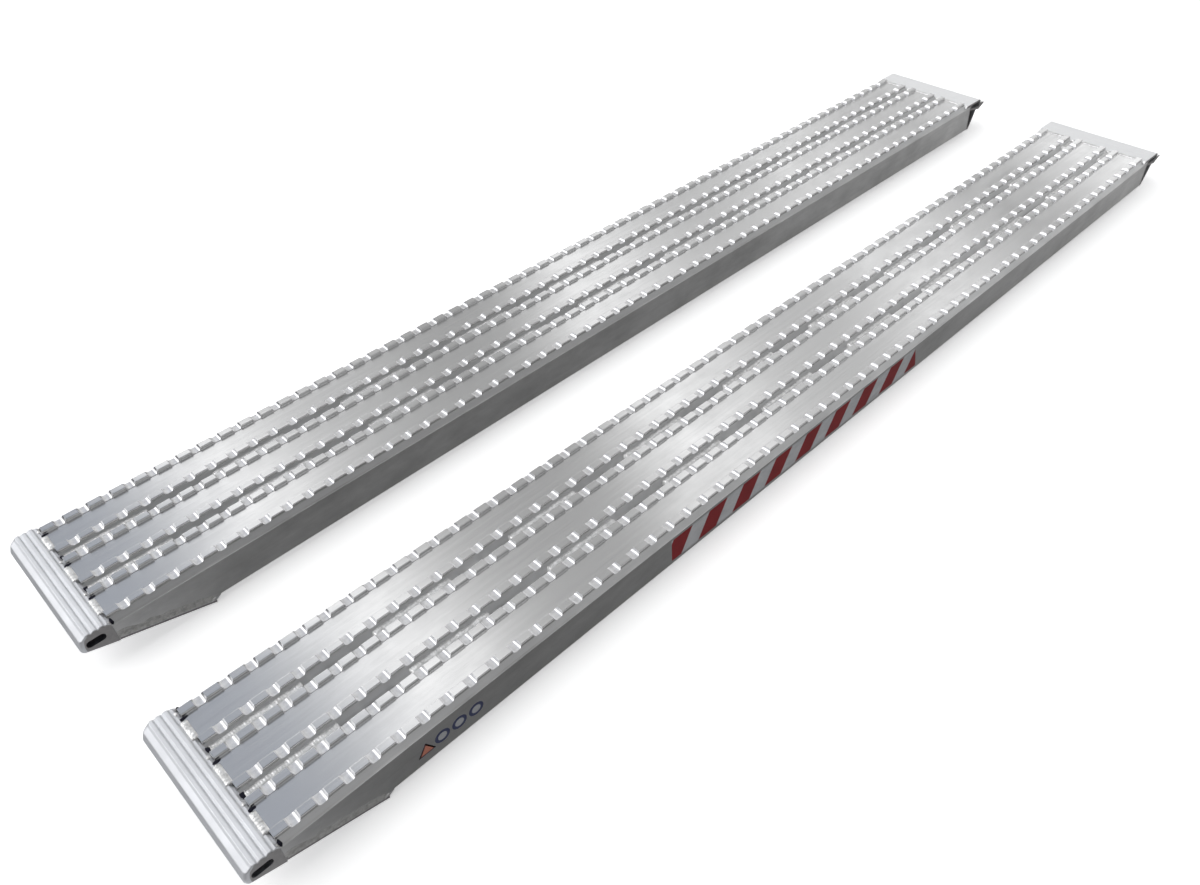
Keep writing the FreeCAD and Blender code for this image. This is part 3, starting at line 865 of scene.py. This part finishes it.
def add_blob(shape, centre, reach, seed, zone=0):
    """A drop of weld metal: a flattened, uneven ball."""
    around, rows = 12, 7
    rings = []
    for row in range(rows + 1):
        tilt = math.pi * (row + 0.15) / (rows + 0.3)
        ring = []
        for step in range(around):
            turn = 2 * math.pi * step / around
            way = Vector((math.sin(tilt) * math.cos(turn), -math.cos(tilt), math.sin(tilt) * math.sin(turn)))
            swell = 1.0 + 0.30 * noise.noise(way * 1.6 + Vector((seed * 3.7, seed, 0.5)))
            ring.append(tuple(centre[axis] + way[axis] * reach[axis] * swell for axis in range(3)))
        rings.append(ring)
    shape.add_rings(rings, zone)


def add_sole_beads(shape):
    """Long soft fillets where the sole meets the two outer webs, each with a brighter lump at the heel."""
    start, stop, wide, proud = -4.0, 184.0, 19.0, 1.8
    for way in (-1, 1):
        rings = []
        count = 120
        for step in range(count + 1):
            along = start + (stop - start) * step / count
            taper = fullness(min(along - start, stop - along) / 9.0, 0.03)
            foot = SOLE_START - math.tan(SLOPE) * along + 0.3
            depth = proud * taper * (0.9 + 0.1 * math.cos(2 * math.pi * along / 6.0))
            span = (wide + wander(way, along, 24.0, 7.0)) * taper
            ring = [(way * (RAMP_HALF - 1.0), along, foot)]
            for share in (0.0, 0.05, 0.15, 0.3, 0.45, 0.6, 0.75, 0.9, 1.0):
                bulge = depth * math.cos(math.pi / 2 * share) ** 1.6 * min(1.0, 0.25 + share * 8.0)
                ring.append((way * (RAMP_HALF + bulge - 0.05), along, foot + span * share))
            ring.append((way * (RAMP_HALF - 1.0), along, foot + span))
            rings.append(ring)
        shape.add_rings(rings, zone=FILLET_ZONE)
        heel = SOLE_START - math.tan(SLOPE) * 178.0
        add_blob(shape, (way * (RAMP_HALF - 0.6), 178.0, heel + 4.5), (2.2, 8.0, 4.2), way + 2.6)


def add_foot_beads(side):
    """Lumpy beads from the nose to each deck, with near-black blobs of painted shadow at the ribs, in the two
    grooves and at the outer corners.
    """
    shape = Shape()
    low, high = cad_span(f"{side}_foot_welds")
    floor = [(high.y, 0.0), (0.0, 0.0), (0.0, -6.0), (-6.0, 0.0), (low.y, 0.0)]
    section = (floor, crown_points(low.y, high.y, high.z * 0.8))
    for step in BEAMS.values():
        middle = step * 2 * BEAM_HALF
        start, stop = middle - RIB_IN + 8.0, middle + RIB_IN - 1.0
        add_cross_bead(shape, section, start, stop, step + 5.2, 0.55)
        for number in range(5):
            seed = 5 * step + number + 0.7
            along = -3.2 + wander(seed, 1.0, 1.0, 3.0)
            across = start + 5.0 + number * (stop - start - 9.0) / 4
            size = 4.6 + wander(seed + 9.1, 1.0, 1.0, 3.0)
            add_blob(shape, (across, along, 0.6), (size, 4.6, 2.3), seed)
        add_blob(shape, (middle - RIB_OUT + 4.0, -5.5, 0.3), (4.5, 3.2, 2.0), step + 7.3)
        # A near-black blob beside the rib: painted shadow
        add_blob(shape, (middle - RIB_IN + 2.8, 0.6, -0.3), (3.6, 7.5, 1.6), step + 2.9, zone=PAINTED_SHADOW_ZONE)
    for number, way in enumerate((-1, 1)):
        # Near-black blobs at the grooves' ends: painted shadow
        add_blob(shape, (way * BEAM_HALF - 1.2, 2.5, -7.4), (7.5, 10.5, 4.6), number + 0.3, zone=PAINTED_SHADOW_ZONE)
    for way in (-1, 1):
        # Near-black blobs at the outer corners: painted shadow
        add_blob(shape, (way * (RAMP_HALF - 6.2), 2.4, -7.5), (6.0, 3.6, 8.0), way + 6.2, zone=PAINTED_SHADOW_ZONE)
        add_blob(shape, (way * (RAMP_HALF - 4.2), -2.6, -8.5), (4.2, 4.4, 6.5), way + 3.4, zone=FILLET_ZONE)
    add_sole_beads(shape)
    build(f"{side}_foot_welds", "beads", shape, BEAD_METALS, BEAD_SHARP)


def add_head_beads(side):
    """Beads from each deck to the lip, with a drop over each joint between the beams."""
    shape = Shape()
    low, high = cad_span(f"{side}_head_welds")
    floor = [(low.y, 0.0), (DECK_LENGTH, 0.0), (DECK_LENGTH, -5.0), (DECK_LENGTH + 5.0, 0.0), (high.y, 0.0)]
    section = (floor, crown_points(high.y, low.y, high.z))
    for step in BEAMS.values():
        middle = step * 2 * BEAM_HALF
        add_cross_bead(shape, section, middle - RIB_IN + 0.8, middle + RIB_IN - 0.8, step + 9.4, 0.35)
    for number, way in enumerate((-1, 1)):
        add_blob(shape, (way * BEAM_HALF, DECK_LENGTH + 1.5, -4.5), (9.0, 5.0, 5.0), number + 8.3)
    build(f"{side}_head_welds", "beads", shape, BEAD_METALS, BEAD_SHARP)


def add_tie_fillet(shape, edge, way, top, left, right, seed):
    """One fillet in the corner between a tie's edge and the flanges above it."""
    leg = 5.0
    arc = ((1.0, 0.0), (0.86, 0.36), (0.62, 0.62), (0.36, 0.86), (0.0, 1.0))
    length = right - left
    count = max(3, round(length / 1.5))
    rings = []
    for step in range(count + 1):
        run = length * step / count
        ripple = 0.92 + 0.08 * math.cos(2 * math.pi * run / 4.5) + wander(seed, run, 7.0, 0.08)
        taper = fullness(min(run, length - run), 0.1)
        size = leg * ripple * taper
        ring = [(left + run, edge, top)]
        ring += [(left + run, edge + way * size * out, top - size * down) for out, down in arc]
        rings.append(ring)
    shape.add_rings(rings)


def add_tie_beads(side):
    """Fillets along both edges of every cross tie, on each beam's flanges."""
    shape = Shape()
    reach = FLANGE_REACH
    outer = cad_span(f"{side}_cross_tie_1")[1].x
    spans = [(way * BEAM_HALF - reach, way * BEAM_HALF + reach) for way in (-1, 1)]
    spans += [(-outer, reach - RAMP_HALF), (RAMP_HALF - reach, outer)]
    for number in range(1, TIES + 1):
        low, high = cad_span(f"{side}_cross_tie_{number}")
        for edge, way in ((low.y, -1), (high.y, 1)):
            for left, right in spans:
                add_tie_fillet(shape, edge, way, high.z, left, right, number)
    build(f"{side}_tie_welds", "beads", shape, BEAD_METALS, BEAD_SHARP)


# ---- films

FILM_THICK = 0.2
LABEL_FILMS = [LABEL_EDGE, LABEL_RED, LABEL_BLUE, LABEL_FACE]


def film_rings(outline, edge):
    """A film on the outer web, thinned towards its edge; outline is (y, z) points."""
    steps = ((0.0, -0.3), (0.0, FILM_THICK * 0.5), (edge * 0.3, FILM_THICK * 0.9), (edge, FILM_THICK))
    rings = []
    for drawn, rise in steps:
        rings.append([(RAMP_HALF + rise, point.x, point.y) for point in inset(outline, drawn)])
    return rings


def add_marking(side):
    """The striped film, cut on the slant at its head end."""
    node = f"{side}_hazard_marking"
    low, high = cad_span(node)
    outline = rounded([
        (low.y + 2.0, high.z, 1.5), (high.y - 26.0, high.z, 1.5),
        (high.y, low.z, 1.5), (low.y + 9.0, low.z, 1.5),
    ])
    shape = Shape()
    shape.add_rings(film_rings(outline, 0.4))
    build(node, "film", shape, [MARKING_FILM])


def add_label(shape, outline, border, zones):
    """One small film, with a printed border round a blank middle."""
    numbers = shape.add_rings(film_rings(outline, 0.3), zones[0], capped=False)
    shape.add_face(numbers[0][::-1], zones[0])
    middle = [shape.add_point(RAMP_HALF + FILM_THICK, point.x, point.y) for point in inset(outline, border)]
    shape.join(numbers[-1], middle, zones[0])
    shape.add_face(middle, zones[1])


def add_labels(side):
    """A triangle and three discs, all blank."""
    node = f"{side}_blank_labels"
    low, high = cad_span(node)
    half, pitch, depth = 16.0, 37.0, (low.z + high.z) / 2
    shape = Shape()
    wide = 2 * half / math.sin(math.radians(60))
    corners = [(0.0, -half, 1.0), (wide, -half, 1.0), (wide / 2, half, 1.0)]
    triangle = rounded([(low.y + y, depth + z, radius) for y, z, radius in corners])
    add_label(shape, triangle, 3.0, (0, 1))
    turns = [Matrix.Rotation(2 * math.pi * step / 48, 2) for step in range(48)]
    for number in range(1, 4):
        middle = Vector((low.y + half + number * pitch, depth))
        add_label(shape, [middle + turn @ Vector((half, 0)) for turn in turns], 6.5, (2, 3))
    build(node, "films", shape, LABEL_FILMS)


# ---- whole ramps

for side, hand in SIDES.items():
    add_beams(side, hand)
    add_nose(side)
    add_foot_plates(side)
    add_lip(side)
    add_ties(side)
    add_groove_beads(side)
    add_foot_beads(side)
    add_head_beads(side)
    add_tie_beads(side)
add_marking("right")
add_labels("right")


# ---- stage, light, camera

def set_material(name, colour, roughness, specular, glow, strength):
    """A plain material for the set, which gives off some light of its own."""
    material, _, shader = new_material(name, colour, 0.0, roughness)
    shader.inputs["Specular IOR Level"].default_value = specular
    shader.inputs["Emission Color"].default_value = (*glow, 1.0)
    shader.inputs["Emission Strength"].default_value = strength
    return material


def add_backdrop():
    """A pale dome round the set. Only the camera sees it, so it takes no part in the lighting."""
    work = bmesh.new()
    bmesh.ops.create_uvsphere(work, u_segments=48, v_segments=24, radius=16.0)
    mesh = bpy.data.meshes.new("backdrop")
    work.to_mesh(mesh)
    work.free()
    mesh.shade_smooth()
    cloth = set_material("backdrop_cloth", (0.0, 0.0, 0.0), 1.0, 0.0, (0.90, 0.91, 0.92), 1.0)
    mesh.materials.append(cloth)
    backdrop = new_object("backdrop", mesh)
    for kind in ("glossy", "diffuse", "transmission", "shadow"):
        setattr(backdrop, f"visible_{kind}", False)


def add_floor():
    """A white floor that takes shadows, but isn't mirrored in the metal."""
    mesh = bpy.data.meshes.new("floor")
    reach = 14.0
    corners = [(-reach, -reach, 0), (reach, -reach, 0), (reach, reach, 0), (-reach, reach, 0)]
    mesh.from_pydata(corners, [], [(0, 1, 2, 3)])
    paint = set_material("floor_paint", (0.93, 0.93, 0.93), 0.9, 0.5, (1.0, 1.0, 1.0), 0.42)
    mesh.materials.append(paint)
    floor = new_object("floor", mesh)
    floor.visible_glossy = False
    floor.visible_diffuse = False


# Light on the ceiling, as (how far towards the heads for a metre up, brightness); the decks mirror it
CEILING = ((-4.0, 0.45), (-2.4, 1.05), (-1.3, 2.3), (-0.60, 2.2), (-0.22, 1.5), (-0.10, 0.38), (0.12, 0.39),
           (0.21, 0.50), (0.27, 1.24), (0.36, 1.22), (0.43, 0.56), (0.49, 0.42), (0.72, 0.36), (0.78, 0.60),
           (0.84, 1.12), (0.98, 1.10), (1.06, 0.75), (1.14, 0.55), (1.30, 0.46), (1.44, 0.65), (1.55, 1.25),
           (1.66, 1.15), (1.78, 0.40), (1.88, 0.10), (2.12, 0.08), (2.20, 1.60), (2.40, 1.30), (4.0, 0.90))
CEILING_REACH = 4.0
# Towards the heads the strips of light lie askew, by this slope about this place across
CEILING_TURN = 0.44
CEILING_AXIS = -0.677
# Light from the right, as (height from level to straight up, brightness)
NEAR_SIDE = ((0.0, 0.80), (0.25, 0.62), (0.40, 0.37), (0.52, 0.31), (0.66, 0.20), (0.82, 0.10), (1.0, 0.10))
# Light from below on the right, as (height from straight down to level, brightness)
GROUND = ((0.0, 0.02), (0.10, 0.05), (0.17, 0.09), (0.50, 0.10),
          (0.56, 0.19), (0.60, 0.32), (0.64, 0.42), (1.0, 0.50))


def graded(tree, source, stops, cold=0.0, cold_until=0.0):
    """A value turned into light by (position, grey) stops; cold makes the early dim greys a little blue."""
    ramp = tree.nodes.new("ShaderNodeValToRGB")
    tree.links.new(source, ramp.inputs["Fac"])
    elements = ramp.color_ramp.elements
    elements.remove(elements[0])
    for index, (position, grey) in enumerate(stops):
        stop = elements[0] if index == 0 else elements.new(position)
        stop.position = position
        tint = cold * max(0.0, 0.6 - grey) if position < cold_until else 0.0
        stop.color = (grey * (1 - tint), grey, grey * (1 + 2 * tint), 1.0)
    return ramp.outputs["Color"]


def add_world():
    """A studio room: strips of light across the ceiling, a plain wall on the right, a dim floor below."""
    world = bpy.data.worlds.new("studio")
    bpy.context.scene.world = world
    world.use_nodes = True
    tree = world.node_tree
    background = tree.nodes["Background"]
    coordinates = tree.nodes.new("ShaderNodeTexCoord")
    axes = tree.nodes.new("ShaderNodeSeparateXYZ")
    tree.links.new(coordinates.outputs["Generated"], axes.inputs["Vector"])
    rise = math_node(tree, "MAXIMUM", axes.outputs["Z"], 0.05)
    along = math_node(tree, "DIVIDE", axes.outputs["Y"], rise)
    across = math_node(tree, "SUBTRACT", math_node(tree, "DIVIDE", axes.outputs["X"], rise), CEILING_AXIS)
    turn = math_node(tree, "MULTIPLY", across, remap(tree, along, 0.45, 0.75, 0.0, CEILING_TURN))
    along = math_node(tree, "ADD", along, turn)
    stops = [((place / CEILING_REACH + 1.0) / 2, grey) for place, grey in CEILING]
    spread = remap(tree, along, -CEILING_REACH, CEILING_REACH, 0.0, 1.0)
    ceiling = graded(tree, spread, stops, cold=0.3, cold_until=0.54)
    near_side = graded(tree, axes.outputs["Z"], NEAR_SIDE)
    ground = graded(tree, remap(tree, axes.outputs["Z"], -1.0, 0.0, 0.0, 1.0), GROUND)
    sky = blend(tree, remap(tree, axes.outputs["X"], 0.0, 0.3, 0.0, 1.0), ceiling, near_side)
    below = blend(tree, remap(tree, axes.outputs["X"], -0.2, 0.2, 0.0, 1.0), (0.09, 0.09, 0.09), ground)
    steep = remap(tree, axes.outputs["Z"], -0.55, -0.70, 0.0, 1.0)
    front = math_node(tree, "MULTIPLY", steep, remap(tree, axes.outputs["Y"], 0.08, -0.02, 0.0, 1.0))
    below = blend(tree, front, below, (0.85, 0.86, 0.88))
    studio = blend(tree, remap(tree, axes.outputs["Z"], -0.03, 0.06, 0.0, 1.0), below, sky)
    tree.links.new(studio, background.inputs["Color"])
    background.inputs["Strength"].default_value = 1.0


def add_softbox():
    """A wide soft light overhead. It lights the floor and the films, and the metal doesn't mirror it."""
    data = bpy.data.lights.new("overhead", "AREA")
    data.shape = "RECTANGLE"
    data.size, data.size_y = 3.0, 5.0
    data.energy = 40.0
    lamp = new_object("overhead", data)
    lamp.location = (-1.5, 0.5, 3.5)
    lamp.rotation_euler = (-lamp.location).to_track_quat("-Z", "Y").to_euler()
    lamp.visible_glossy = False


def add_camera():
    """The camera, in metres and degrees; its place and its turn come from a perspective fit."""
    data = bpy.data.cameras.new("camera")
    data.sensor_width = 36.0
    data.lens = 27.988
    data.shift_x = 0.0417
    data.shift_y = 0.0417
    camera = new_object("camera", data)
    camera.location = (1.1984, -1.6088, 1.4524)
    camera.rotation_euler = [math.radians(angle) for angle in (44.584, 1.864, 46.749)]
    bpy.context.scene.camera = camera


add_floor()
add_backdrop()
add_world()
add_softbox()
add_camera()
bpy.context.scene.view_settings.view_transform = "Standard"
